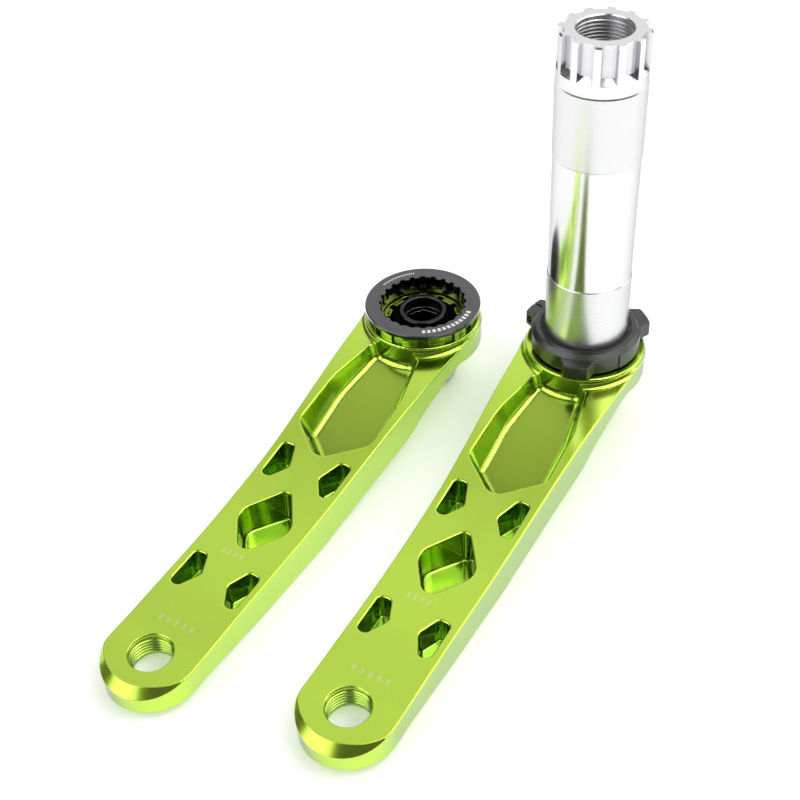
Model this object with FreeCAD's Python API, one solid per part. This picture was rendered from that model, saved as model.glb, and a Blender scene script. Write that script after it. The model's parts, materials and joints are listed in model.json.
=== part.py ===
"""Two-piece bicycle crankset: a drive-side arm and a spindle-side arm lying side by side.

The arms lie on their outer faces, so every turning axis stands upright.  Each side is
modelled about its own spindle axis (local Z), with its arm pointing along local -Y and
local z = 0 at the inner face around the pedal hole, and is then placed in the row frame.
"""
import FreeCAD, Part

import math
import os

# ---------------------------------------------------------------- driving dimensions (mm)
ARM_LENGTH = 170.0            # spindle axis to pedal axis
SPINDLE_D = 30.0              # bearing journals
SPINDLE_TIP_Z = 140.8         # free end of the spindle above the pedal-hole face
FLOOR_Z = -12.0               # lowest point of either arm, in arm heights

BOSS_R = 22.4                 # round end of the arm, in plan
EYE_R = 16.0                  # round pedal end, in plan
HUB_R = 22.0                  # raised hub on the inner face
HUB_TOP = 17.0
PEDAL_R = 7.14                # 9/16 in thread, major radius

AXIS_GAP = 61.8               # between the two spindle axes, across the arms
AXIS_STAGGER = 11.6           # the drive-side axis sits this much further forward
DRIVE_YAW = -0.918            # degrees, the drive-side arm is not quite parallel

SPLINE_TEETH = 12             # lobes of the spindle's end splines
SPLINE_CREST_R = 14.8
SPLINE_ROOT_R = 12.7
SPLINE_SLOT_CREST = 5.4       # width of each flute where it opens
SPLINE_SLOT_ROOT = 4.2        # and at its floor
SPLINE_FIT = 0.05             # radial clearance inside the arms
SPLINE_FLOOR = -2.0           # shoulder that the spindle's end stops on
ARM_SPLINE_TOP = 15.0         # upper end of the splines inside the spindle-side arm
DRIVE_SPLINE_TOP = 15.3       # and inside the drive-side arm

RUN = 0.05                    # radial clearance of a part that turns in another
SEAT = 0.05                   # axial gap between faces that turn on each other

BOLT_THREAD_R = 9.0           # crank bolt and spindle bolt, M18
BOLT_TIP_R = 8.65
BOLT_BORE_R = 7.5
BOLT_HEAD_R = 10.35
BOLT_HEX = 10.0               # across flats
BOLT_HEAD_Z = -7.2            # outer face of the crank bolt's head
CRANK_BOLT_END = 19.0
SPINDLE_BOLT_END = 12.0
SHOULDER_HOLE_R = 9.3
SHOULDER_Z = -4.2             # outer face of the shoulder, where the washer sits
WASHER_T = 0.5
CHAMBER_R = 10.65             # room for the bolt head
CAP_THREAD_R = 10.95
CAP_THREAD_Z = -7.85          # inner end of the puller cap's thread
CAP_FLANGE_R = 11.8
CAP_FACE_R = 10.3             # the flange narrows to this at the floor
CAP_HEX = 16.0
CAP_WASHER_BORE_R = 9.5

NECK_R = 17.2                 # threaded neck that the preload ring turns on
NECK_TOP = 22.0
CHAINRING_CREST_R = 19.8      # spline boss for a chainring, on the drive-side hub
CHAINRING_ROOT_R = 18.6
CHAINRING_TOP = 21.0
CHAINRING_SLOT_CREST = 4.6    # width of its flutes where they open
CHAINRING_SLOT_ROOT = 4.0     # and at their floor
LOCK_THREAD_R = 17.5
LOCK_FLANGE_R = 21.9
LOCK_BORE_R = 15.7
LOCK_LOW = 16.0
LOCK_TOP = 22.6
LOCK_NOTCHES = 24
LOCK_NOTCH_WIDTH = 2.0
LOCK_NOTCH_LOW = 18.0
LOCK_NOTCH_R = 16.5           # how far the tool notches reach into the ring

# ---------------------------------------------------------------- small helpers


def at(u, v, z=0.0):
    """Arm coordinates (u along the arm, v across, z up) to a vector."""
    return FreeCAD.Vector(v, -u, z)


def cylinder(radius, low, high):
    return Part.makeCylinder(radius, high - low, FreeCAD.Vector(0, 0, low))


def tube(outer, inner, low, high):
    return cylinder(outer, low, high).cut(cylinder(inner, low - 1, high + 1))


def revolved(profile):
    """Solid of revolution about Z from (radius, z) points."""
    points = [FreeCAD.Vector(r, 0, z) for r, z in profile]
    face = Part.Face(Part.makePolygon(points + points[:1]))
    return face.revolve(FreeCAD.Vector(0, 0, 0), FreeCAD.Vector(0, 0, 1), 360)


def rounded_outline(corners, radii):
    """Closed wire through corner vectors, each corner turned with its own radius."""
    count = len(corners)
    starts = []
    ends = []
    middles = []
    for i in range(count):
        corner = corners[i]
        back = (corners[i - 1] - corner).normalize()
        ahead = (corners[(i + 1) % count] - corner).normalize()
        half = back.getAngle(ahead) / 2
        reach = radii[i] / math.tan(half)
        starts.append(corner + back * reach)
        ends.append(corner + ahead * reach)
        bisector = (back + ahead).normalize()
        middles.append(corner + bisector * (radii[i] / math.sin(half) - radii[i]))
    edges = []
    for i in range(count):
        edges.append(Part.Arc(starts[i], middles[i], ends[i]).toShape())
        edges.append(Part.LineSegment(ends[i], starts[(i + 1) % count]).toShape())
    return Part.Wire(edges)


def grown(corners, distance):
    """Convex (u, v) polygon with every side moved outwards by a distance."""
    count = len(corners)
    area = sum(corners[i - 1][0] * corners[i][1] - corners[i][0] * corners[i - 1][1]
               for i in range(count))
    turn = 1.0 if area > 0 else -1.0
    lines = []
    for i in range(count):
        (u0, v0), (u1, v1) = corners[i], corners[(i + 1) % count]
        size = math.hypot(u1 - u0, v1 - v0)
        normal_u = turn * (v1 - v0) / size
        normal_v = -turn * (u1 - u0) / size
        lines.append((normal_u, normal_v, normal_u * u0 + normal_v * v0 + distance))
    result = []
    for i in range(count):
        a1, b1, c1 = lines[i - 1]
        a2, b2, c2 = lines[i]
        det = a1 * b2 - a2 * b1
        result.append(((c1 * b2 - c2 * b1) / det, (a1 * c2 - a2 * c1) / det))
    return result


def turned(shape, angle):
    """Swing a shape from +u round to a polar angle, +v side first."""
    swung = shape.copy()
    swung.rotate(FreeCAD.Vector(0, 0, 0), FreeCAD.Vector(0, 0, 1), angle)
    return swung


def hexagon(flats, low, high):
    radius = flats / 2 / math.cos(math.pi / 6)
    points = [FreeCAD.Vector(radius * math.cos(k * math.pi / 3), radius * math.sin(k * math.pi / 3), low)
              for k in range(7)]
    return Part.Face(Part.makePolygon(points)).extrude(FreeCAD.Vector(0, 0, high - low))


def fluted(bar, mouth_r, mouth_width, floor_r, floor_width, low, high):
    """A round bar with equal tapered flutes cut along it, the first at +u."""
    beyond = mouth_r + 1.0
    flare = (mouth_width - floor_width) / (mouth_r - floor_r)
    half_out = (floor_width + flare * (beyond - floor_r)) / 2
    half_in = floor_width / 2
    outline = [at(floor_r, -half_in, low), at(beyond, -half_out, low), at(beyond, half_out, low),
               at(floor_r, half_in, low)]
    flute = Part.Face(Part.makePolygon(outline + outline[:1])).extrude(FreeCAD.Vector(0, 0, high - low))
    for k in range(SPLINE_TEETH):
        step = flute.copy()
        step.rotate(FreeCAD.Vector(0, 0, 0), FreeCAD.Vector(0, 0, 1), k * 360.0 / SPLINE_TEETH)
        bar = bar.cut(step)
    return bar


def spline_core(low, high, grow=0.0):
    """The spindle's splined end, or the space for it when grown."""
    bar = cylinder(SPLINE_CREST_R + grow, low, high)
    return fluted(bar, SPLINE_CREST_R, SPLINE_SLOT_CREST - 2 * grow, SPLINE_ROOT_R + grow,
                  SPLINE_SLOT_ROOT - 2 * grow, low - 1, high + 1)


def edges_where(shape, test):
    """Edges whose every sample point passes a test on (u, v, z)."""
    found = []
    for edge in shape.Edges:
        samples = edge.discretize(5)
        if all(test(-p.y, p.x, p.z) for p in samples):
            found.append(edge)
    return found


# ---------------------------------------------------------------- the arm's outer form
# Half width of the arm at stations along it, hub to pedal end.
PLAN_SIDE = [(2.0, 22.31), (28.0, 20.3), (48.0, 18.9), (75.0, 17.4), (104.0, 16.6), (140.0, 16.0)]
# Inner face: height at stations along the arm, pedal end to hub.
TOP_LINE = [(164.0, 0.0), (148.0, 0.5), (131.0, 1.0), (104.0, 2.2), (78.0, 5.0), (59.0, 8.2),
            (28.0, 12.8), (6.0, 14.5), (-26.0, 15.2)]
# Outer face: corners of its broken line, each with the radius it is blended with.
BOTTOM_LINE = [(160.0, -9.7, 60), (134.0, -12.0, 60), (100.0, -12.0, 60), (72.0, -8.7, 60),
               (43.5, -4.1, 12), (34.0, 0.6, 12), (14.0, 6.8, 25)]
BOTTOM_END_Z = 7.2
EDGE_BREAK = 0.5              # radius on the long edges of the inner face
LOWER_BREAK = 0.9             # chamfer on the edges of the outer face
TIP_CONE_U = 165.1            # axis and top radius of the 45 degree bevel round the pedal end
TIP_CONE_R = 17.6
HUB_RIM = 0.8                 # rounding of the hub's inner rim
COVE_R = 2.2                  # concave foot of the hub
HUB_CONE_TOP_R = 18.0         # cone under the hub: where it leaves the arm ...
HUB_FACE_R = 12.6             # ... and its flat outer face
HUB_FACE_Z = -10.0


def along(line, u):
    """Value at a station u on a broken line of (u, value) points, level beyond its ends."""
    points = sorted(line)
    for (u0, a0), (u1, a1) in zip(points, points[1:]):
        if u0 <= u <= u1:
            return a0 + (a1 - a0) * (u - u0) / (u1 - u0)
    return points[0][1] if u < points[0][0] else points[-1][1]


def top_height(u):
    """Height of the inner face at a station along the arm."""
    return along(TOP_LINE, u)


def half_width(u):
    """Half width of the arm at a station along it."""
    return along(PLAN_SIDE, u)


def arm_plan():
    """The arm's outline seen from above, as a tall prism."""
    low, high = -30.0, 40.0
    start_u, start_v = PLAN_SIDE[0]
    end_u = PLAN_SIDE[-1][0]
    sides = []
    for side in (1, -1):
        points = [at(u, side * v, low) for u, v in PLAN_SIDE]
        curve = Part.BSplineCurve()
        tangent = at(start_v, -side * start_u).normalize()
        curve.interpolate(Points=points, InitialTangent=tangent, FinalTangent=at(1, 0))
        sides.append(curve.toShape())
    straights = [Part.LineSegment(at(end_u, s * EYE_R, low), at(ARM_LENGTH, s * EYE_R, low)).toShape()
                 for s in (1, -1)]
    eye = Part.Arc(at(ARM_LENGTH, EYE_R, low), at(ARM_LENGTH + EYE_R, 0, low),
                   at(ARM_LENGTH, -EYE_R, low)).toShape()
    hub = Part.Arc(at(start_u, start_v, low), at(-BOSS_R, 0, low), at(start_u, -start_v, low)).toShape()
    wire = Part.Wire(Part.__sortEdges__([sides[0], straights[0], eye, straights[1], sides[1], hub]))
    return Part.Face(wire).extrude(FreeCAD.Vector(0, 0, high - low))


def arm_section():
    """The arm's side view, as a bar across it."""
    half = 30.0
    top = Part.BSplineCurve()
    top.interpolate(Points=[at(u, -half, z) for u, z in TOP_LINE], InitialTangent=at(-1, 0),
                    FinalTangent=at(-1, 0, 0.01).normalize())
    tip_u, hub_u = 200.0, TOP_LINE[-1][0]
    tip_z = BOTTOM_LINE[0][1] + 0.1
    corners = [(tip_u, tip_z, 0)] + BOTTOM_LINE + [(hub_u, BOTTOM_END_Z, 0)]
    edges = [Part.LineSegment(at(tip_u, -half, 0), at(TOP_LINE[0][0], -half, 0)).toShape(), top.toShape(),
             Part.LineSegment(at(hub_u, -half, TOP_LINE[-1][1]), at(hub_u, -half, BOTTOM_END_Z)).toShape(),
             Part.LineSegment(at(tip_u, -half, tip_z), at(tip_u, -half, 0)).toShape()]
    last = at(tip_u, -half, tip_z)
    for i in range(1, len(corners) - 1):
        u, z, radius = corners[i]
        corner = at(u, -half, z)
        back = (at(corners[i - 1][0], -half, corners[i - 1][1]) - corner).normalize()
        ahead = (at(corners[i + 1][0], -half, corners[i + 1][1]) - corner).normalize()
        half_angle = back.getAngle(ahead) / 2
        reach = radius / math.tan(half_angle)
        middle = corner + (back + ahead).normalize() * (radius / math.sin(half_angle) - radius)
        edges.append(Part.LineSegment(last, corner + back * reach).toShape())
        edges.append(Part.Arc(corner + back * reach, middle, corner + ahead * reach).toShape())
        last = corner + ahead * reach
    edges.append(Part.LineSegment(last, at(hub_u, -half, BOTTOM_END_Z)).toShape())
    wire = Part.Wire(Part.__sortEdges__(edges))
    return Part.Face(wire).extrude(FreeCAD.Vector(2 * half, 0, 0))


def tip_bevel():
    """What is cut away round the pedal end's inner edge."""
    low, high = -9.0, 4.0
    cone = Part.makeCone(TIP_CONE_R - low, TIP_CONE_R - high, high - low, at(TIP_CONE_U, 0, low))
    block = Part.makeBox(80, 40, high - low, at(TIP_CONE_U + 40, -40, low))
    return block.cut(cone)


# ---------------------------------------------------------------- weight-saving pockets
LONG_DRAFT = 0.34             # how far the long pocket's walls lean out per mm of height
LONG_FLOOR = [(12.0, 6.6), (42.0, 11.9), (62.4, 11.7), (72.1, 0.0)]
LONG_FLOOR_RADII = [1.0, 30.0, 3.6, 3.4]
LONG_FLOOR_U = 21.0           # the long pocket's floor is this high here ...
LONG_FLOOR_Z = 8.3
LONG_FLOOR_SLOPE = -0.255     # ... and falls towards the pedal end
LONG_ROUNDING = 0.6           # how fast its corners open up towards the mouth, against its walls
LONG_END_RADIUS = 3.0         # upright corners where it meets the hub
LONG_BLEND = 2.6
# The flat-floored pockets: mouth corners and their radii, mouth and floor height, floor blend.
FLAT_DRAFT = 0.08
DIAMOND = [(92.6, 0.0), (108.3, 10.9), (124.3, 0.0), (108.3, -10.9)]
DIAMOND_RADII = [2.2, 6.5, 4.0, 6.5]
DIAMOND_MOUTH_Z = 2.0
DIAMOND_FLOOR_Z = -9.2
DIAMOND_BLEND = 1.0
UPPER_SMALL = [(75.4, 14.2), (90.4, 14.2), (90.4, 10.5), (84.2, 6.3), (75.2, 9.9)]
UPPER_MOUTH_Z = 4.2
UPPER_FLOOR_Z = -4.8
LOWER_SMALL = [(129.5, 13.1), (144.1, 13.1), (144.1, 9.4), (137.0, 5.4), (129.2, 8.7)]
LOWER_MOUTH_Z = 0.8
LOWER_FLOOR_Z = -7.5
SMALL_RADII = [2.0, 2.2, 2.0, 2.0, 2.0]
SMALL_BLEND = 0.7
RIM_BLEND = 0.7               # rounding of every pocket's mouth


def drafted_cut(floor_corners, radii, floor_height, rise, draft, growth):
    """Pocket cutter with leaning walls; floor_height gives the floor's height at a station u."""
    floor = [at(u, v, floor_height(u)) for u, v in floor_corners]
    wide = grown(floor_corners, rise * draft)
    mouth = [at(u, v, floor_height(u) + rise) for u, v in wide]
    mouth_radii = [radius + rise * growth for radius in radii]
    return Part.makeLoft([rounded_outline(floor, radii), rounded_outline(mouth, mouth_radii)], True, True)


def blended_floor(cutter, floor_height, radius):
    low = edges_where(cutter, lambda u, v, z: z < floor_height(u) + 0.02)
    return cutter.makeFillet(radius, low)


def long_pocket():
    corners = LONG_FLOOR + [(u, -v) for u, v in reversed(LONG_FLOOR) if v > 0]
    radii = LONG_FLOOR_RADII + LONG_FLOOR_RADII[-2::-1]

    def slope(u):
        return LONG_FLOOR_Z + LONG_FLOOR_SLOPE * (u - LONG_FLOOR_U)

    cutter = drafted_cut(corners, radii, slope, 24.0, LONG_DRAFT, LONG_DRAFT * LONG_ROUNDING)
    cutter = cutter.cut(cylinder(HUB_R, -40, 60))
    upright = [e for e in edges_where(cutter, lambda u, v, z: abs(math.hypot(u, v) - HUB_R) < 0.05)
               if abs(e.Vertexes[0].Z - e.Vertexes[-1].Z) > 8]
    return blended_floor(cutter.makeFillet(LONG_END_RADIUS, upright), slope, LONG_BLEND)


def flat_pocket(mouth_corners, mouth_radii, mouth_z, floor_z, blend):
    """Pocket with a level floor, given by its mouth."""
    inset = (mouth_z - floor_z) * FLAT_DRAFT
    floor_corners = grown(mouth_corners, -inset)
    floor_radii = [radius - inset for radius in mouth_radii]

    def level(u):
        return floor_z

    cutter = drafted_cut(floor_corners, floor_radii, level, 16.0, FLAT_DRAFT, FLAT_DRAFT)
    return blended_floor(cutter, level, blend)


def all_pockets():
    diamond = flat_pocket(DIAMOND, DIAMOND_RADII, DIAMOND_MOUTH_Z, DIAMOND_FLOOR_Z, DIAMOND_BLEND)
    cutters = [long_pocket(), diamond]
    for corners, mouth_z, floor_z in ((UPPER_SMALL, UPPER_MOUTH_Z, UPPER_FLOOR_Z),
                                      (LOWER_SMALL, LOWER_MOUTH_Z, LOWER_FLOOR_Z)):
        for side in (1, -1):
            mouth = [(u, side * v) for u, v in corners]
            cutters.append(flat_pocket(mouth, SMALL_RADII, mouth_z, floor_z, SMALL_BLEND))
    return cutters


def outer_face_edges(arm):
    """The long edges round the arm's outer face."""
    near = edges_where(arm, lambda u, v, z: z < top_height(u) - 2.2
                       and (abs(v) > half_width(u) - 0.6 or u < 0 or u > ARM_LENGTH - 0.1))
    shortest = 0.3
    up = FreeCAD.Vector(0, 0, 1)
    return [e for e in near if (e.Vertexes[0].Point - e.Vertexes[-1].Point).cross(up).Length > shortest]


def inner_face_edges(arm):
    """The long edges round the arm's inner face, as far as the bevel at the pedal end."""
    return edges_where(arm, lambda u, v, z: abs(z - top_height(u)) < 0.6 and u < 172
                       and (abs(v) > 8 or u < -10))


def pocket_rims(arm):
    return edges_where(arm, lambda u, v, z: 20 < u < 147 and abs(v) < half_width(u) - 0.8
                       and abs(z - top_height(u)) < 0.6)


def arm_blank():
    """The arm's forging with rounded edges and pockets, still without its hub."""
    arm = arm_plan().common(arm_section())
    arm = arm.makeChamfer(LOWER_BREAK, outer_face_edges(arm))
    arm = arm.makeFillet(EDGE_BREAK, inner_face_edges(arm))
    arm = arm.cut(tip_bevel())
    for cutter in all_pockets():
        arm = arm.cut(cutter)
    return arm.makeFillet(RIM_BLEND, pocket_rims(arm))


def under_hub():
    """Cone under the hub that holds the bolt."""
    return revolved([(0, 8), (HUB_CONE_TOP_R, 8), (HUB_CONE_TOP_R, 6.5), (HUB_FACE_R, HUB_FACE_Z + 0.8),
                     (HUB_FACE_R - 0.8, HUB_FACE_Z), (0, HUB_FACE_Z)])


def hub():
    """Raised round hub on the inner face, with its rim rounded and a cove at its foot."""
    disc = cylinder(HUB_R, 6, HUB_TOP)
    rim = edges_where(disc, lambda u, v, z: z > HUB_TOP - 0.01)
    return disc.makeFillet(HUB_RIM, rim)


def cove():
    """Concave foot where the hub stands on the sloping inner face."""
    foot = COVE_R * 2
    inner = HUB_R - 4
    outer = HUB_R + COVE_R + 0.1
    start = FreeCAD.Vector(HUB_R - 0.2, 0, COVE_R + 0.1)
    middle = FreeCAD.Vector(HUB_R + COVE_R * 0.29, 0, COVE_R * 0.29)
    end = FreeCAD.Vector(outer, 0, 0)
    arc = Part.Arc(start, middle, end).toShape()
    rest = Part.makePolygon([end, FreeCAD.Vector(outer, 0, -foot), FreeCAD.Vector(inner, 0, -foot),
                             FreeCAD.Vector(inner, 0, COVE_R + 0.1), start])
    face = Part.Face(Part.Wire([arc] + rest.Edges))
    ring = face.revolve(FreeCAD.Vector(0, 0, 0), FreeCAD.Vector(0, 0, 1), 360)
    slope = math.atan2(top_height(10) - top_height(30), 20)
    ring.rotate(FreeCAD.Vector(0, 0, 0), FreeCAD.Vector(1, 0, 0), math.degrees(slope))
    ring.translate(FreeCAD.Vector(0, 0, top_height(22) + 22 * math.tan(slope) - 0.05))
    front = Part.makeBox(60, 40, 40, FreeCAD.Vector(-30, -44, HUB_TOP - 1 - 40))
    return ring.common(arm_plan()).common(front)


def pedal_hole():
    """Plain bore at the pedal thread's major radius, with a small chamfer at both faces."""
    hole = cylinder(PEDAL_R, -20, 10)
    inner = Part.makeCone(PEDAL_R, PEDAL_R + 0.4, 0.4, FreeCAD.Vector(0, 0, -0.3))
    outer = Part.makeCone(PEDAL_R + 0.4, PEDAL_R, 0.4, FreeCAD.Vector(0, 0, -9.7))
    hole = hole.fuse([inner, outer])
    hole.translate(at(ARM_LENGTH, 0))
    return hole


def forged_arm():
    """One arm with its pockets, pedal hole and solid hub."""
    arm = arm_blank()
    for piece in (under_hub(), hub(), cove().cut(long_pocket())):
        arm = arm.fuse(piece)
    return arm.removeSplitter().cut(pedal_hole())


def bolt_bores():
    """Shoulder hole and head chamber shared by both hubs."""
    return cylinder(SHOULDER_HOLE_R, SHOULDER_Z - 1, SPLINE_FLOOR + 1).fuse(
        cylinder(CHAMBER_R, HUB_FACE_Z - 1, SHOULDER_Z))


def spindle_arm():
    arm = forged_arm().fuse(cylinder(NECK_R, HUB_TOP - 2, NECK_TOP))
    bores = bolt_bores().fuse([spline_core(SPLINE_FLOOR, ARM_SPLINE_TOP, SPLINE_FIT),
                               cylinder(SPLINE_CREST_R + SPLINE_FIT, ARM_SPLINE_TOP, NECK_TOP + 1)])
    return arm.cut(bores)


def drive_arm():
    boss = fluted(cylinder(CHAINRING_CREST_R, HUB_TOP - 2, CHAINRING_TOP), CHAINRING_CREST_R,
                  CHAINRING_SLOT_CREST, CHAINRING_ROOT_R, CHAINRING_SLOT_ROOT, HUB_TOP, CHAINRING_TOP + 1)
    arm = forged_arm().fuse(boss)
    female = spline_core(SPLINE_FLOOR, DRIVE_SPLINE_TOP, SPLINE_FIT)
    female.rotate(FreeCAD.Vector(0, 0, 0), FreeCAD.Vector(0, 0, 1), 180.0 / SPLINE_TEETH)
    thread = cylinder(LOCK_THREAD_R + RUN, DRIVE_SPLINE_TOP, CHAINRING_TOP + 1)
    cap_thread = cylinder(CAP_THREAD_R + RUN, HUB_FACE_Z - 1, CAP_THREAD_Z)
    return arm.cut(bolt_bores().fuse([female, thread, cap_thread]))


# ---------------------------------------------------------------- spindle and bolts
JOURNALS = [(25.3, 49.6), (97.4, 123.2)]
PILOT_LOW = 15.3              # plain stretch above the splines, in the spindle-side arm
WAIST_R = 14.75
THREAD_DEPTH = 20.0
HOLLOW_R = 12.2
SPINDLE_FOOT = -1.7
FLUTE_LOW = 128.0             # the end splines' flutes start to sink in here ...
FLUTE_FULL = 130.0            # ... and are at full depth here


def spindle():
    """Hollow spindle, splined at both ends, with a bolt thread in each."""
    r = SPINDLE_D / 2
    (low_start, low_end), (high_start, high_end) = JOURNALS
    step = r - WAIST_R
    tip = SPINDLE_TIP_Z
    outer = revolved([(0, PILOT_LOW), (SPLINE_CREST_R, PILOT_LOW), (SPLINE_CREST_R, low_start),
                      (r, low_start), (r, low_end), (WAIST_R, low_end + step), (WAIST_R, high_start - step),
                      (r, high_start), (r, high_end), (SPLINE_CREST_R, high_end + 0.6),
                      (SPLINE_CREST_R, tip - 0.5), (SPLINE_CREST_R - 0.5, tip), (0, tip)])
    beyond_r, beyond_z = r + 5, tip + 10
    ridges = fluted(cylinder(beyond_r, FLUTE_LOW, beyond_z), SPLINE_CREST_R, SPLINE_SLOT_CREST, SPLINE_ROOT_R,
                    SPLINE_SLOT_ROOT, FLUTE_LOW - 1, beyond_z + 1)
    round_space = revolved([(SPLINE_CREST_R, FLUTE_LOW), (beyond_r, FLUTE_LOW), (beyond_r, beyond_z),
                            (SPLINE_ROOT_R, beyond_z), (SPLINE_ROOT_R, FLUTE_FULL)])
    outer = outer.cut(round_space.cut(ridges))
    outer = outer.fuse(spline_core(SPINDLE_FOOT, PILOT_LOW))
    thread_r = BOLT_THREAD_R + RUN
    low_in = SPINDLE_FOOT + THREAD_DEPTH
    high_in = tip - THREAD_DEPTH
    taper = HOLLOW_R - thread_r
    inner = revolved([(0, SPINDLE_FOOT - 1), (thread_r, SPINDLE_FOOT - 1), (thread_r, low_in),
                      (HOLLOW_R, low_in + taper), (HOLLOW_R, high_in - taper), (thread_r, high_in),
                      (thread_r, tip - 0.4), (thread_r + 0.5, tip + 0.1), (thread_r + 0.5, tip + 1),
                      (0, tip + 1)])
    return outer.cut(inner)


def washer(low):
    return tube(BOLT_HEAD_R, BOLT_THREAD_R + 0.35, low, low + WASHER_T)


def crank_bolt():
    """Hollow bolt whose tip shows inside the drive-side hub."""
    seat = SHOULDER_Z - WASHER_T - SEAT
    end = CRANK_BOLT_END
    tip_bevel_height = BOLT_THREAD_R - BOLT_TIP_R
    body = revolved([(0, BOLT_HEAD_Z), (BOLT_HEAD_R - 0.3, BOLT_HEAD_Z), (BOLT_HEAD_R, BOLT_HEAD_Z + 0.3),
                     (BOLT_HEAD_R, seat), (BOLT_THREAD_R, seat), (BOLT_THREAD_R, end - tip_bevel_height),
                     (BOLT_TIP_R, end), (0, end)])
    socket = hexagon(BOLT_HEX, BOLT_HEAD_Z - 1, end + 1)
    counterbore = cylinder(BOLT_BORE_R, end - 4.5, end + 1)
    return body.cut(socket.fuse(counterbore))


def flange():
    """Low outer face shared by the puller cap and the spindle bolt, narrowing towards the floor."""
    top = HUB_FACE_Z - 0.1
    return revolved([(0, FLOOR_Z), (CAP_FACE_R, FLOOR_Z), (CAP_FLANGE_R, top - 0.4), (CAP_FLANGE_R, top),
                     (0, top)])


def spindle_bolt():
    """Bolt that holds the spindle into its arm from outside."""
    seat = SHOULDER_Z - WASHER_T - SEAT
    end = SPINDLE_BOLT_END
    head_low = HUB_FACE_Z - 0.1
    shank = revolved([(0, head_low), (BOLT_HEAD_R, head_low), (BOLT_HEAD_R, seat), (BOLT_THREAD_R, seat),
                      (BOLT_THREAD_R, end - (BOLT_THREAD_R - BOLT_TIP_R)), (BOLT_TIP_R, end), (0, end)])
    return flange().fuse(shank).cut(hexagon(BOLT_HEX, FLOOR_Z - 1, -1))


def puller_cap():
    """Cap screwed over the crank bolt's head, which pushes the arm off as the bolt is undone."""
    thread = cylinder(CAP_THREAD_R, HUB_FACE_Z - 0.1, CAP_THREAD_Z)
    return flange().fuse(thread).cut(hexagon(CAP_HEX, FLOOR_Z - 1, CAP_THREAD_Z + 1))


def puller_cap_washer():
    return tube(BOLT_HEAD_R, CAP_WASHER_BORE_R, CAP_THREAD_Z, BOLT_HEAD_Z - SEAT)


def chainring_lockring():
    """Flanged ring with tool notches round its bore."""
    flange_low = CHAINRING_TOP + 0.1
    rim = 0.3
    ring = revolved([(LOCK_BORE_R, LOCK_LOW), (LOCK_THREAD_R, LOCK_LOW), (LOCK_THREAD_R, flange_low),
                     (LOCK_FLANGE_R, flange_low), (LOCK_FLANGE_R, LOCK_TOP - rim),
                     (LOCK_FLANGE_R - rim, LOCK_TOP), (LOCK_BORE_R + rim, LOCK_TOP),
                     (LOCK_BORE_R, LOCK_TOP - rim)])
    inner = LOCK_BORE_R - 2
    corner = FreeCAD.Vector(-LOCK_NOTCH_WIDTH / 2, inner, LOCK_NOTCH_LOW)
    notch = Part.makeBox(LOCK_NOTCH_WIDTH, LOCK_NOTCH_R - inner, 6.0, corner)
    for k in range(LOCK_NOTCHES):
        ring = ring.cut(turned(notch, k * 360.0 / LOCK_NOTCHES))
    return ring


# ---------------------------------------------------------------- preload ring
RING_BODY_R = 19.9
RING_LOW = 17.8
RING_TOP = 25.3
LUG_R = 23.9
LUG_ANGLES = [-100.0, 15.0, 135.0]
LUG_LOW = 18.0
LUG_TOP = 23.6
RING_LIP_LOW = 22.6           # inward lip that bears on the seal
RING_LIP_TOP = 24.2
RING_LIP_R = 15.4
SEAL_SPACE_R = 16.6
SEAL_R = 16.5
SEAL_BORE_R = 15.15           # clears the journal it can slide onto
SEAL_TOP = 25.2
SLOT_ANGLE = -103.0
SCREW_RADIUS = 21.8           # the pinch screw crosses the first lug here
SCREW_Z = 20.8
SCREW_HEAD_AT = 2.2           # underside of its head, from the lug's middle
SCREW_END = -4.2


def lug():
    half_in, half_out, root = 6.4, 4.2, 17.6
    points = [at(root, -half_in, LUG_LOW), at(LUG_R + 1, -half_out + 0.4, LUG_LOW),
              at(LUG_R + 1, half_out - 0.4, LUG_LOW), at(root, half_in, LUG_LOW)]
    block = Part.Face(Part.makePolygon(points + points[:1])).extrude(FreeCAD.Vector(0, 0, LUG_TOP - LUG_LOW))
    block = block.common(cylinder(LUG_R, LUG_LOW, LUG_TOP))
    outer = edges_where(block, lambda u, v, z: math.hypot(u, v) > LUG_R - 0.05)
    return block.makeFillet(0.5, outer)


def screw_bar(radius, low, high):
    """Cylinder along the pinch screw's line, measured from the lug's middle."""
    bar = Part.makeCylinder(radius, high - low, at(SCREW_RADIUS, low, SCREW_Z), FreeCAD.Vector(1, 0, 0))
    return turned(bar, LUG_ANGLES[0])


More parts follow.
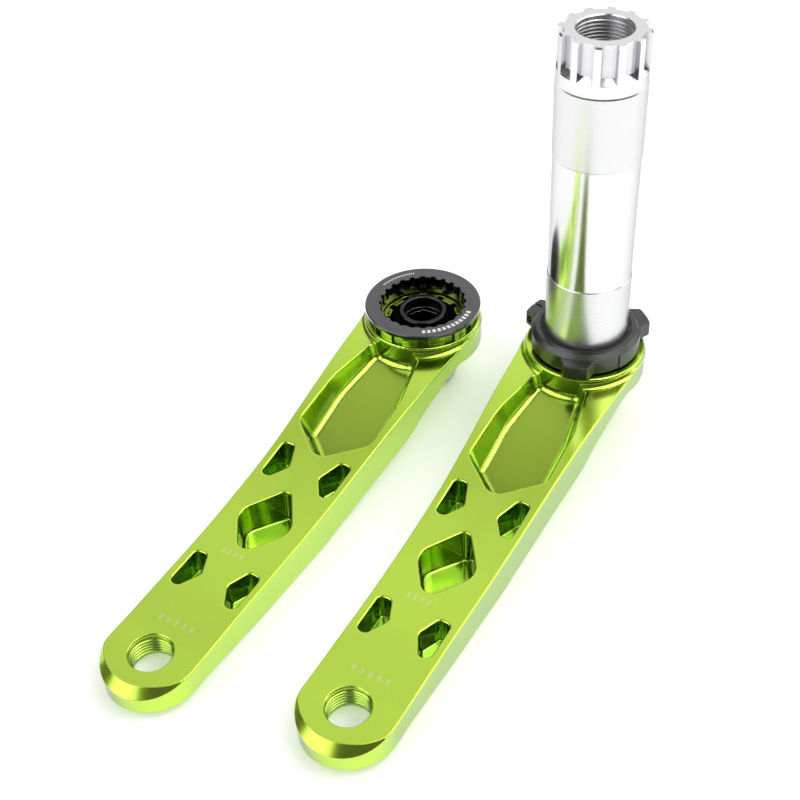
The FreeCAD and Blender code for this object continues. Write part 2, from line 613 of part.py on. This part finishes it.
def preload_ring():
    """Threaded ring with three grip lugs, split and pinched at the first."""
    inner = NECK_R + RUN
    ring = revolved([(inner, RING_LOW), (RING_BODY_R - 0.3, RING_LOW), (RING_BODY_R, RING_LOW + 0.3),
                     (RING_BODY_R, 23.8), (19.6, 24.1), (18.3, RING_TOP), (SEAL_SPACE_R, RING_TOP),
                     (SEAL_SPACE_R, RING_LIP_TOP), (RING_LIP_R, RING_LIP_TOP), (RING_LIP_R, RING_LIP_LOW),
                     (inner, RING_LIP_LOW)])
    for angle in LUG_ANGLES:
        sector = Part.makeCylinder(RING_BODY_R + 1, 6.3, FreeCAD.Vector(0, 0, RING_LOW - 0.1),
                                   FreeCAD.Vector(0, 0, 1), 29.0)
        relief = sector.cut(cylinder(RING_BODY_R - 0.5, RING_LOW - 1, RING_TOP))
        ring = ring.cut(turned(relief, angle - 90.0 + 18.0))
    for angle in LUG_ANGLES:
        ring = ring.fuse(turned(lug().cut(cylinder(inner + 0.5, 0, 30)), angle))
    split = Part.makeBox(1.0, 12.0, 20.0, FreeCAD.Vector(-0.5, -LUG_R - 2, RING_LOW - 5))
    ring = ring.cut(turned(split, SLOT_ANGLE))
    ring = ring.cut(screw_bar(1.65, SCREW_HEAD_AT, 9.0))
    return ring.cut(screw_bar(1.0 + RUN, SCREW_END - 0.1, SCREW_HEAD_AT))


def preload_seal():
    return tube(SEAL_R, SEAL_BORE_R, RING_LIP_TOP + SEAT, SEAL_TOP)


def pinch_screw():
    head_low = SCREW_HEAD_AT + SEAT
    screw = screw_bar(1.0, SCREW_END, head_low).fuse(screw_bar(1.5, head_low, head_low + 2.0))
    socket = hexagon(1.5, 0, 1.2)
    socket.rotate(FreeCAD.Vector(0, 0, 0), FreeCAD.Vector(0, 1, 0), -90)
    socket.translate(at(SCREW_RADIUS, head_low + 2.05, SCREW_Z))
    return screw.cut(turned(socket, LUG_ANGLES[0]))


# ---------------------------------------------------------------- placing and saving
def placed(shape, x, y, yaw=0.0):
    moved = shape.copy()
    moved.rotate(FreeCAD.Vector(0, 0, 0), FreeCAD.Vector(0, 0, 1), yaw)
    moved.translate(FreeCAD.Vector(x, y, -FLOOR_Z))
    return moved


def main():
    os.makedirs("parts", exist_ok=True)
    front = -AXIS_STAGGER - ARM_LENGTH * math.cos(math.radians(DRIVE_YAW)) - EYE_R
    spindle_x = AXIS_GAP / 2
    spindle_y = -(BOSS_R + front) / 2
    spindle_side = {"spindle_arm": spindle_arm(), "spindle": spindle(), "spindle_bolt": spindle_bolt(),
                    "spindle_bolt_washer": washer(SHOULDER_Z - WASHER_T), "preload_ring": preload_ring(),
                    "preload_seal": preload_seal(), "preload_pinch_screw": pinch_screw()}
    drive_side = {"drive_arm": drive_arm(), "chainring_lockring": chainring_lockring(),
                  "crank_bolt": crank_bolt(), "crank_bolt_washer": washer(SHOULDER_Z - WASHER_T),
                  "puller_cap": puller_cap(), "puller_cap_washer": puller_cap_washer()}
    for name, shape in spindle_side.items():
        placed(shape, spindle_x, spindle_y).exportStep(f"parts/{name}.step")
    for name, shape in drive_side.items():
        moved = placed(shape, spindle_x - AXIS_GAP, spindle_y - AXIS_STAGGER, DRIVE_YAW)
        moved.exportStep(f"parts/{name}.step")


if __name__ == "__main__":
    main()
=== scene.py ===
"""Looks of the bicycle crankset: finishes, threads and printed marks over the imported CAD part."""

import bmesh
import bpy
import json
import math
from mathutils import Matrix, Vector


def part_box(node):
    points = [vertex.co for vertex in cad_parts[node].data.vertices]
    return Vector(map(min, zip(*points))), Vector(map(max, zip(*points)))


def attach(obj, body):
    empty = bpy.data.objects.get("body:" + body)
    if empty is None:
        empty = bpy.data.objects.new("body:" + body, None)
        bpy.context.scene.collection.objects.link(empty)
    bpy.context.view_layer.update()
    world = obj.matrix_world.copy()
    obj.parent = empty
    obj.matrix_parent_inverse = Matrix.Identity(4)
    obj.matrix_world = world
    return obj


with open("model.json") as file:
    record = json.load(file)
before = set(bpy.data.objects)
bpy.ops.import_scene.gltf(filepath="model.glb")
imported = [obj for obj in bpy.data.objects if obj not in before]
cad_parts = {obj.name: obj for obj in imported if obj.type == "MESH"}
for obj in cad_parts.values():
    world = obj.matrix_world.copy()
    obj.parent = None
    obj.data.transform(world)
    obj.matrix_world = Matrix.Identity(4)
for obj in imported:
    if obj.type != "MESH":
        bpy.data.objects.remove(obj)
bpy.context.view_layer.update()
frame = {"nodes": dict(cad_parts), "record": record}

# ---------------------------------------------------------------- places and sizes (metres)
MM = 0.001
nodes = frame["nodes"]
mounts = {m["name"]: m for m in frame["record"]["mounts"]}


def axis_of(node):
    """Centre line of a round node: x and y of the middle of its box."""
    low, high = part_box(node)
    return (low.x + high.x) / 2, (low.y + high.y) / 2


SPINDLE_X, SPINDLE_Y = axis_of("spindle")
DRIVE_X, DRIVE_Y = axis_of("chainring_lockring")
HOLE_R = mounts["drive_arm_pedal_thread"]["dims"]["r_mm"] * MM
HOLE_LENGTH = mounts["drive_arm_pedal_thread"]["dims"]["length_mm"] * MM
TIP_THREAD_R = mounts["spindle_tip_thread"]["dims"]["r_mm"] * MM
TIP_THREAD_LENGTH = mounts["spindle_tip_thread"]["dims"]["length_mm"] * MM

LOCK_FACE_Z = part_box("chainring_lockring")[1].z
DRIVE_YAW = math.atan2(mounts["drive_arm_pedal_thread"]["pos_m"][0] - DRIVE_X,
                       DRIVE_Y - mounts["drive_arm_pedal_thread"]["pos_m"][1])

PEDAL_PITCH = 1.27 * MM
PEDAL_DEPTH = 0.55 * MM
TIP_PITCH = 1.25 * MM
TIP_DEPTH = 0.5 * MM
THREAD_SIDES = 96             # corners in one turn of a thread
ROWS_PER_PITCH = 12
LINER_BACK = 0.06 * MM        # how far a liner reaches into the metal behind it

# Stamped strokes on the arms: station from the hub's axis, span across the arm, spacing.
STROKE = 2.2 * MM
STROKE_SHARE = 0.17           # half width of a stroke as a share of the spacing
STAMPED_HEIGHTS = (9.0 * MM, 16.0 * MM)   # the inner faces lie between these
STAMPS = ((125.0 * MM, -6.0 * MM, 4.0 * MM, 2.4 * MM),
          (157.0 * MM, -7.0 * MM, 8.0 * MM, 3.0 * MM))
# Printed ticks on the lockring: arc in degrees, inner and outer radius, spacing and share that is white.
PRINTED_ARCS = ((-62.0, 10.0, 17.8 * MM, 19.5 * MM, 6.0, 0.62),
                (128.0, 172.0, 18.4 * MM, 19.3 * MM, 2.6, 0.45))
PRINT_SKIN = 0.1 * MM         # print sits within this of the lockring's face
SHADE_REACH = 14.0 * MM        # how far round it an arm's surface looks when shade is painted into its hollows
FLUTE_SHADE_REACH = 4.0 * MM        # and the spindle's, for the painted shade in its flutes


# ---------------------------------------------------------------- material helpers
class Finish:
    """A node material under construction, with short calls for the usual steps."""

    def __init__(self, name, roughness=0.3, metallic=1.0, **sockets):
        self.material = bpy.data.materials.new(name)
        self.material.use_nodes = True
        self.tree = self.material.node_tree
        self.shader = self.tree.nodes["Principled BSDF"]
        self.shader.inputs["Metallic"].default_value = metallic
        self.shader.inputs["Roughness"].default_value = roughness
        for socket, value in sockets.items():
            self.shader.inputs[socket.replace("_", " ")].default_value = value
        self.place = self.node("ShaderNodeTexCoord").outputs["Object"]

    def node(self, kind, **properties):
        made = self.tree.nodes.new(kind)
        for key, value in properties.items():
            setattr(made, key, value)
        return made

    def link(self, source, target):
        self.tree.links.new(source, target)

    def math(self, operation, *values):
        made = self.node("ShaderNodeMath", operation=operation)
        for socket, value in zip(made.inputs, values):
            if isinstance(value, (int, float)):
                socket.default_value = value
            else:
                self.link(value, socket)
        return made.outputs[0]

    def local(self, centre, yaw=0.0):
        """x, y, z sockets in metres from an upright axis, turned back by yaw."""
        shaped = self.node("ShaderNodeMapping", vector_type="TEXTURE")
        shaped.inputs["Location"].default_value = (centre[0], centre[1], 0.0)
        shaped.inputs["Rotation"].default_value = (0.0, 0.0, yaw)
        self.link(self.place, shaped.inputs["Vector"])
        split = self.node("ShaderNodeSeparateXYZ")
        self.link(shaped.outputs[0], split.inputs[0])
        return split.outputs[:3]

    def within(self, value, low, high):
        """1 where a value lies between two limits, else 0."""
        return self.math("COMPARE", value, (low + high) / 2, (high - low) / 2)

    def noise(self, scale, detail=3.0, stretch=None, roughness=0.5):
        """Noise whose grain is 1/scale metres; stretch scales x, y and z first."""
        made = self.node("ShaderNodeTexNoise")
        made.inputs["Scale"].default_value = scale
        made.inputs["Detail"].default_value = detail
        made.inputs["Roughness"].default_value = roughness
        source = self.place
        if stretch:
            shaped = self.node("ShaderNodeMapping")
            shaped.inputs["Scale"].default_value = stretch
            self.link(source, shaped.inputs["Vector"])
            source = shaped.outputs[0]
        self.link(source, made.inputs["Vector"])
        return made.outputs[0]

    def ramp(self, source, *stops):
        """Maps 0..1 through (position, value) stops; a value is a number or an rgb triple."""
        made = self.node("ShaderNodeValToRGB")
        band = made.color_ramp
        while len(band.elements) < len(stops):
            band.elements.new(0.5)
        for element, (position, value) in zip(band.elements, stops):
            element.position = position
            rgb = (value, value, value) if isinstance(value, (int, float)) else value
            element.color = (*rgb, 1.0)
        self.link(source, made.inputs[0])
        return made.outputs[0]

    def mix(self, amount, first, second):
        """Colour mix; first and second are sockets or rgb triples."""
        made = self.node("ShaderNodeMix", data_type="RGBA")
        sockets = [s for s in made.inputs if s.enabled]
        for socket, value in zip(sockets, (amount, first, second)):
            if isinstance(value, (int, float)):
                socket.default_value = value
            elif isinstance(value, tuple):
                socket.default_value = (*value, 1.0)
            else:
                self.link(value, socket)
        return [s for s in made.outputs if s.enabled][0]

    def edge_wear_and_highlight(self, width, low=0.02, high=0.25):
        """1 along convex and concave edges within width, 0 on open faces; used to paint edge wear and edge
        highlight.
        """
        bevel = self.node("ShaderNodeBevel", samples=6)
        bevel.inputs["Radius"].default_value = width
        face = self.node("ShaderNodeNewGeometry")
        dot = self.node("ShaderNodeVectorMath", operation="DOT_PRODUCT")
        self.link(bevel.outputs[0], dot.inputs[0])
        self.link(face.outputs["True Normal"], dot.inputs[1])
        return self.ramp(self.math("SUBTRACT", 1.0, dot.outputs["Value"]), (low, 0.0), (high, 1.0))

    def painted_shade_ramp(self, reach, *stops):
        """Ramp over how open a point is within reach, used to paint shade into hollows: 0 shut in by its
        own piece, 1 open.
        """
        seen = self.node("ShaderNodeAmbientOcclusion", samples=8, only_local=True)
        seen.inputs["Distance"].default_value = reach
        return self.ramp(seen.outputs["AO"], *stops)

    def steepness(self):
        """0 on level faces, 1 on upright ones."""
        split = self.node("ShaderNodeSeparateXYZ")
        self.link(self.node("ShaderNodeNewGeometry").outputs["True Normal"], split.inputs[0])
        return self.math("SUBTRACT", 1.0, self.math("ABSOLUTE", split.outputs["Z"]))

    def colour(self, source):
        self.link(source, self.shader.inputs["Base Color"])

    def roughness(self, source):
        self.link(source, self.shader.inputs["Roughness"])

    def bump(self, *layers, rounded=0.0):
        """Stacks (height socket, strength, distance) layers, over rounded edges when asked."""
        normal = None
        if rounded:
            bevel = self.node("ShaderNodeBevel", samples=6)
            bevel.inputs["Radius"].default_value = rounded
            normal = bevel.outputs[0]
        for height, strength, distance in layers:
            made = self.node("ShaderNodeBump")
            made.inputs["Strength"].default_value = strength
            made.inputs["Distance"].default_value = distance
            self.link(height, made.inputs["Height"])
            if normal:
                self.link(normal, made.inputs["Normal"])
            normal = made.outputs[0]
        self.link(normal, self.shader.inputs["Normal"])


# ---------------------------------------------------------------- finishes
def stamped_marks(finish, centre, yaw):
    """Rows of short plain strokes sunk into the inner face of an arm; 1 inside a stroke."""
    x, y, z = finish.local(centre, yaw)
    strokes = None
    for station, from_middle, to_middle, pitch in STAMPS:
        row = finish.within(y, -station - STROKE / 2, -station + STROKE / 2)
        span = finish.within(x, from_middle, to_middle)
        comb = finish.math("LESS_THAN", finish.math("PINGPONG", x, pitch / 2), pitch * STROKE_SHARE)
        mask = finish.math("MULTIPLY", finish.math("MULTIPLY", row, span), comb)
        strokes = mask if strokes is None else finish.math("MAXIMUM", strokes, mask)
    return finish.math("MULTIPLY", strokes, finish.within(z, *STAMPED_HEIGHTS))


def anodised_green(name, centre, yaw=0.0):
    """Clear-coated green metal, with painted shade darkening it in hollows and on shut-in walls, paler on
    edges from wear and a painted highlight, and paler in the stamped strokes.
    """
    finish = Finish(name, 0.2, 1.0, Coat_Weight=1.0, Coat_IOR=1.7, Coat_Roughness=0.07,
                    Specular_Tint=(0.33, 0.33, 0.80, 1.0))
    cloud = finish.noise(18.0, 1.5)
    tone = finish.ramp(cloud, (0.3, (0.570, 0.850, 0.025)), (0.7, (0.600, 0.885, 0.035)))
    marks = stamped_marks(finish, centre, yaw)
    # Painted shade: darker, duller green where the arm's own shape shuts a point in.
    tone = finish.mix(finish.painted_shade_ramp(SHADE_REACH, (0.2, 0.0), (0.85, 1.0)), (0.36, 0.60, 0.020), tone)
    # Painted shade: dark green on the steep walls of the pockets.
    half_shut_shade = finish.painted_shade_ramp(SHADE_REACH, (0.2, 0.3), (0.5, 1.0), (0.93, 0.0))
    wall_shade = finish.math("MULTIPLY", half_shut_shade, finish.steepness())
    tone = finish.mix(wall_shade, tone, (0.15, 0.27, 0.009))
    # Paler edges: partly wear, partly a painted highlight along the rims.
    worn_and_highlit = finish.mix(finish.edge_wear_and_highlight(0.35 * MM), tone, (0.72, 0.90, 0.14))
    finish.colour(finish.mix(finish.math("MULTIPLY", marks, 0.5), worn_and_highlit, (0.80, 0.90, 0.50)))
    finish.roughness(finish.ramp(finish.noise(140.0, 3.0), (0.3, 0.17), (0.7, 0.21)))
    finish.bump((finish.noise(3200.0, 2.0), 0.05, 0.01 * MM), (marks, -0.5, 0.1 * MM), rounded=0.35 * MM)
    return finish.material


def turned_silver():
    """Polished tube with satin-ground journals, painted shade greying the flutes, and edges lightened by
    wear and a painted highlight.
    """
    finish = Finish("turned_silver", 0.15, 1.0, Specular_Tint=(0.64, 0.64, 0.66, 1.0))
    height = finish.local((SPINDLE_X, SPINDLE_Y))[2]
    journals = None
    for name in ("lower_bearing_journal", "upper_bearing_journal"):
        middle = mounts[name]["pos_m"][2]
        half = mounts[name]["dims"]["length_mm"] * MM / 2
        band = finish.within(height, middle - half, middle + half)
        journals = band if journals is None else finish.math("MAXIMUM", journals, band)
    edge = finish.edge_wear_and_highlight(0.2 * MM)
    tone = finish.mix(journals, (0.86, 0.86, 0.865), (0.82, 0.82, 0.83))
    # Painted shade: greyer where the spline flutes shut a point in.
    tone = finish.mix(finish.painted_shade_ramp(FLUTE_SHADE_REACH, (0.45, 0.0), (0.95, 1.0)), (0.45, 0.45, 0.49), tone)
    # Near-white edges: partly wear, partly a painted highlight.
    finish.colour(finish.mix(edge, tone, (0.98, 0.98, 0.98)))
    lines = finish.noise(1.0, 2.0, stretch=(4.0, 4.0, 16000.0))
    smear = finish.ramp(lines, (0.3, 0.0), (0.7, 0.05))
    finish.roughness(finish.math("ADD", smear, finish.math("MULTIPLY_ADD", journals, 0.13, 0.14)))
    finish.bump((lines, 0.05, 0.004 * MM), rounded=0.2 * MM)
    return finish.material


def cut_thread():
    """Satin grey of a cut thread, lighter on its edges from wear and a painted highlight."""
    finish = Finish("cut_thread", 0.3, 1.0)
    tone = finish.ramp(finish.noise(400.0, 3.0), (0.3, (0.50, 0.50, 0.51)), (0.7, (0.60, 0.60, 0.61)))
    finish.colour(finish.mix(finish.edge_wear_and_highlight(0.2 * MM), tone, (0.80, 0.80, 0.80)))
    finish.roughness(finish.ramp(finish.noise(900.0, 3.0), (0.3, 0.26), (0.7, 0.36)))
    finish.bump((finish.noise(1.0, 2.0, stretch=(40.0, 40.0, 12000.0)), 0.08, 0.006 * MM))
    return finish.material


def dark_anodised(name, tone, low, high, gloss=0.5, marks=None, edge=0.06):
    """Dark metal of a tone, with roughness from low to high; edge is how much lighter its edges are, from
    wear and a painted highlight.
    """
    finish = Finish(name, (low + high) / 2, 1.0, Coat_Weight=gloss, Coat_Roughness=0.06)
    lighter = tuple(c * 2.2 + edge for c in tone)
    shade = finish.ramp(finish.noise(120.0, 3.0), (0.3, tuple(c * 0.9 for c in tone)),
                        (0.7, tuple(c * 1.1 for c in tone)))
    # Lighter edges: partly wear, partly a painted highlight.
    shade = finish.mix(finish.edge_wear_and_highlight(0.25 * MM), shade, lighter)
    if marks:
        shade = finish.mix(marks(finish), shade, (0.85, 0.85, 0.85))
    finish.colour(shade)
    finish.roughness(finish.ramp(finish.noise(500.0, 3.0), (0.3, low), (0.7, high)))
    finish.bump((finish.noise(3600.0, 2.0), 0.05, 0.01 * MM), rounded=0.25 * MM)
    return finish.material


def printed_ticks(finish):
    """Plain white ticks on two arcs of the lockring's flange."""
    x, y, z = finish.local((DRIVE_X, DRIVE_Y))
    radius_squared = finish.math("MULTIPLY_ADD", x, x, finish.math("MULTIPLY", y, y))
    radius = finish.math("SQRT", radius_squared)
    angle = finish.math("ARCTAN2", y, x)
    result = None
    for first, last, inner, outer, pitch, share in PRINTED_ARCS:
        arc = finish.within(angle, math.radians(first), math.radians(last))
        ring = finish.within(radius, inner, outer)
        tick = finish.math("LESS_THAN", finish.math("PINGPONG", angle, math.radians(pitch) / 2),
                           math.radians(pitch) / 2 * share)
        mask = finish.math("MULTIPLY", finish.math("MULTIPLY", arc, ring), tick)
        result = mask if result is None else finish.math("MAXIMUM", result, mask)
    return finish.math("MULTIPLY", result, finish.math("GREATER_THAN", z, LOCK_FACE_Z - PRINT_SKIN))


def rubber_black():
    finish = Finish("rubber_black", 0.7, 0.0)
    blotches = finish.noise(300.0, 4.0)
    finish.colour(finish.ramp(blotches, (0.3, (0.012, 0.012, 0.012)), (0.7, (0.03, 0.03, 0.03))))
    finish.roughness(finish.ramp(finish.noise(900.0, 3.0), (0.3, 0.6), (0.7, 0.8)))
    finish.bump((finish.noise(2500.0, 3.0), 0.3, 0.05 * MM))
    return finish.material


def washer_plastic():
    finish = Finish("washer_plastic", 0.5, 0.0)
    blotches = finish.noise(250.0, 4.0)
    finish.colour(finish.ramp(blotches, (0.3, (0.05, 0.05, 0.052)), (0.7, (0.08, 0.08, 0.082))))
    finish.roughness(finish.ramp(finish.noise(700.0, 3.0), (0.3, 0.42), (0.7, 0.58)))
    finish.bump((finish.noise(3000.0, 3.0), 0.2, 0.03 * MM), rounded=0.1 * MM)
    return finish.material


def paint(node, material):
    slots = nodes[node].material_slots
    for slot in slots:
        slot.material = material
    if not slots:
        nodes[node].data.materials.append(material)


# ---------------------------------------------------------------- threads
def thread_liner(name, centre, low, length, bore_r, depth, pitch, body, material, hand=1):
    """A thin sleeve lining a bore, its inner face cut as a screw thread."""
    rows = int(length / pitch * ROWS_PER_PITCH)
    high = low + length
    mesh = bmesh.new()

    def threaded(angle, z):
        """Radius of the cut: a ridge with flat crest and floor that runs out at both ends."""
        phase = ((z - low) / pitch - hand * angle / (2 * math.pi)) % 1.0
        ridge = max(0.0, min(1.0, 2.2 * (1.0 - 2.0 * abs(phase - 0.5)) - 0.55))
        fade = min(1.0, (z - low) / pitch, (high - z) / pitch)
        return bore_r - depth * ridge * max(0.0, fade)

    cut = [(low + length * k / rows, None) for k in range(rows + 1)]
    back = [(high, bore_r + LINER_BACK), (low, bore_r + LINER_BACK)]
    loops = []
    for z, plain_radius in cut + back:
        row = []
        for k in range(THREAD_SIDES):
            angle = 2 * math.pi * k / THREAD_SIDES
            radius = plain_radius or threaded(angle, z)
            x = centre[0] + radius * math.cos(angle)
            y = centre[1] + radius * math.sin(angle)
            row.append(mesh.verts.new((x, y, z)))
        loops.append(row)
    for number, (lower, upper) in enumerate(zip(loops, loops[1:] + loops[:1])):
        for k in range(THREAD_SIDES):
            n = (k + 1) % THREAD_SIDES
            face = mesh.faces.new((lower[k], upper[k], upper[n], lower[n]))
            face.smooth = number < rows
    bmesh.ops.recalc_face_normals(mesh, faces=mesh.faces)
    data = bpy.data.meshes.new(name)
    mesh.to_mesh(data)
    mesh.free()
    made = bpy.data.objects.new(name, data)
    bpy.context.scene.collection.objects.link(made)
    data.materials.append(material)
    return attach(made, body)


# ---------------------------------------------------------------- studio
ROOM = 0.12                   # radiance of the unlit part of the room
# Soft panels of the room: towards, full within and gone beyond (degrees), radiance.
PANELS = (
    ((-0.40, 0.66, 0.64), 13, 40, 0.56),
    ((0.00, 1.00, 0.05), 25, 75, 0.30),
    ((0.42, 0.08, 0.90), 22, 32, 1.8),
    ((-0.50, -0.58, 0.64), 20, 32, 1.7),
    ((0.52, 0.68, 0.48), 7, 24, 1.3),
    ((0.85, 0.45, 0.27), 7, 15, 2.2),
)
PAPER_GLOW = 0.29             # the floor is a lit table top
TABLE_SIZE = 6.0
TABLE_DROP = 0.2 * MM         # keeps the table clear of the faces that stand on it
KEY_POWER = 0.7
KEY_SIZE = 0.3
KEY_PLACE = (0.36, 0.13, 0.76)


def table():
    """Pale paper that glows a little, so that it shows white under soft light."""
    bpy.ops.mesh.primitive_plane_add(size=TABLE_SIZE, location=(0, 0, -TABLE_DROP))
    floor = bpy.context.object
    floor.name = "studio_floor"
    pale = Finish("studio_paper", 0.8, 0.0)
    pale.colour(pale.ramp(pale.noise(3.0, 2.0), (0.3, (0.90, 0.90, 0.90)), (0.7, (0.93, 0.93, 0.93))))
    pale.bump((pale.noise(900.0, 3.0), 0.05, 0.02 * MM))
    pale.shader.inputs["Emission Color"].default_value = (1.0, 1.0, 1.0, 1.0)
    pale.shader.inputs["Emission Strength"].default_value = PAPER_GLOW
    floor.data.materials.append(pale.material)


def room():
    """World light: a dim room with soft panels added to it."""
    world = bpy.data.worlds.new("studio_world")
    world.use_nodes = True
    tree = world.node_tree
    direction = tree.nodes.new("ShaderNodeTexCoord").outputs["Generated"]
    total = None
    for towards, inside, outside, level in PANELS:
        facing = tree.nodes.new("ShaderNodeVectorMath")
        facing.operation = "DOT_PRODUCT"
        facing.inputs[1].default_value = Vector(towards).normalized()
        tree.links.new(direction, facing.inputs[0])
        falloff = tree.nodes.new("ShaderNodeMapRange")
        falloff.interpolation_type = "SMOOTHSTEP"
        falloff.inputs["From Min"].default_value = math.cos(math.radians(outside))
        falloff.inputs["From Max"].default_value = math.cos(math.radians(inside))
        falloff.inputs["To Max"].default_value = level
        tree.links.new(facing.outputs["Value"], falloff.inputs["Value"])
        added = tree.nodes.new("ShaderNodeMath")
        added.operation = "ADD"
        added.inputs[1].default_value = ROOM
        if total:
            tree.links.new(total, added.inputs[1])
        tree.links.new(falloff.outputs["Result"], added.inputs[0])
        total = added.outputs[0]
    tree.links.new(total, tree.nodes["Background"].inputs["Color"])
    bpy.context.scene.world = world


def key_light():
    """One soft lamp that gives the contact shadows."""
    data = bpy.data.lights.new("key", "AREA")
    data.shape = "SQUARE"
    data.size = KEY_SIZE
    data.energy = KEY_POWER
    lamp = bpy.data.objects.new("key", data)
    lamp.location = KEY_PLACE
    lamp.rotation_euler = (-lamp.location).to_track_quat("-Z", "Y").to_euler()
    bpy.context.scene.collection.objects.link(lamp)


# ---------------------------------------------------------------- camera
CAMERA_FROM_SPINDLE = Vector((0.14191, -0.36171, 0.33535))
AZIMUTH = math.radians(31.688)
ELEVATION = math.radians(40.793)
ROLL = math.radians(-3.0)
LENS = 59.66
SENSOR = 36.0


def camera():
    data = bpy.data.cameras.new("camera")
    data.lens = LENS
    data.sensor_width = SENSOR
    data.clip_start = 0.01
    seen = bpy.data.objects.new("camera", data)
    level = Vector((math.sin(AZIMUTH), -math.cos(AZIMUTH), 0.0))
    back = level * math.cos(ELEVATION) + Vector((0.0, 0.0, math.sin(ELEVATION)))
    right = Vector((math.cos(AZIMUTH), math.sin(AZIMUTH), 0.0))
    up = back.cross(right)
    rolled_right = right * math.cos(ROLL) + up * math.sin(ROLL)
    rolled_up = up * math.cos(ROLL) - right * math.sin(ROLL)
    turn = Matrix((rolled_right, rolled_up, back)).transposed().to_4x4()
    place = Vector((SPINDLE_X, SPINDLE_Y, 0.0)) + CAMERA_FROM_SPINDLE
    seen.matrix_world = Matrix.Translation(place) @ turn
    bpy.context.scene.collection.objects.link(seen)
    bpy.context.scene.camera = seen


# ---------------------------------------------------------------- putting it together
spindle_green = anodised_green("anodised_green_spindle_side", (SPINDLE_X, SPINDLE_Y))
drive_green = anodised_green("anodised_green_drive_side", (DRIVE_X, DRIVE_Y), DRIVE_YAW)
silver = turned_silver()
cut_metal = cut_thread()
charcoal = dark_anodised("charcoal_ring", (0.085, 0.092, 0.082), 0.34, 0.44, 0.3)
# The bolt's edges are lifted far: a painted highlight on its rims, on top of edge wear.
bolt_black = dark_anodised("bolt_black", (0.011, 0.011, 0.012), 0.16, 0.24, 0.4, edge=0.40)
screw_black = dark_anodised("screw_black", (0.06, 0.06, 0.062), 0.26, 0.34)
lockring = dark_anodised("printed_lockring", (0.070, 0.071, 0.075), 0.18, 0.24, 1.0, printed_ticks)
rubber = rubber_black()
plastic = washer_plastic()

for name, material in {
    "spindle_arm": spindle_green,
    "drive_arm": drive_green,
    "spindle": silver,
    "preload_ring": charcoal,
    "preload_seal": rubber,
    "preload_pinch_screw": screw_black,
    "chainring_lockring": lockring,
    "crank_bolt": bolt_black,
    "spindle_bolt": bolt_black,
    "puller_cap": bolt_black,
    "crank_bolt_washer": plastic,
    "spindle_bolt_washer": plastic,
    "puller_cap_washer": plastic,
}.items():
    paint(name, material)

for side, body, hand, green in (("spindle_arm", "spindle_side", -1, spindle_green),
                                ("drive_arm", "drive_side", 1, drive_green)):
    place = Vector(mounts[side + "_pedal_thread"]["pos_m"])
    thread_liner(side + "_pedal_thread", place, place.z - HOLE_LENGTH / 2, HOLE_LENGTH, HOLE_R, PEDAL_DEPTH,
                 PEDAL_PITCH, body, green, hand)
tip_low = mounts["spindle_tip_thread"]["pos_m"][2] - TIP_THREAD_LENGTH / 2
thread_liner("spindle_tip_thread", (SPINDLE_X, SPINDLE_Y), tip_low, TIP_THREAD_LENGTH, TIP_THREAD_R,
             TIP_DEPTH, TIP_PITCH, "spindle_side", cut_metal)

table()
room()
key_light()
camera()
bpy.context.scene.view_settings.view_transform = "Standard"
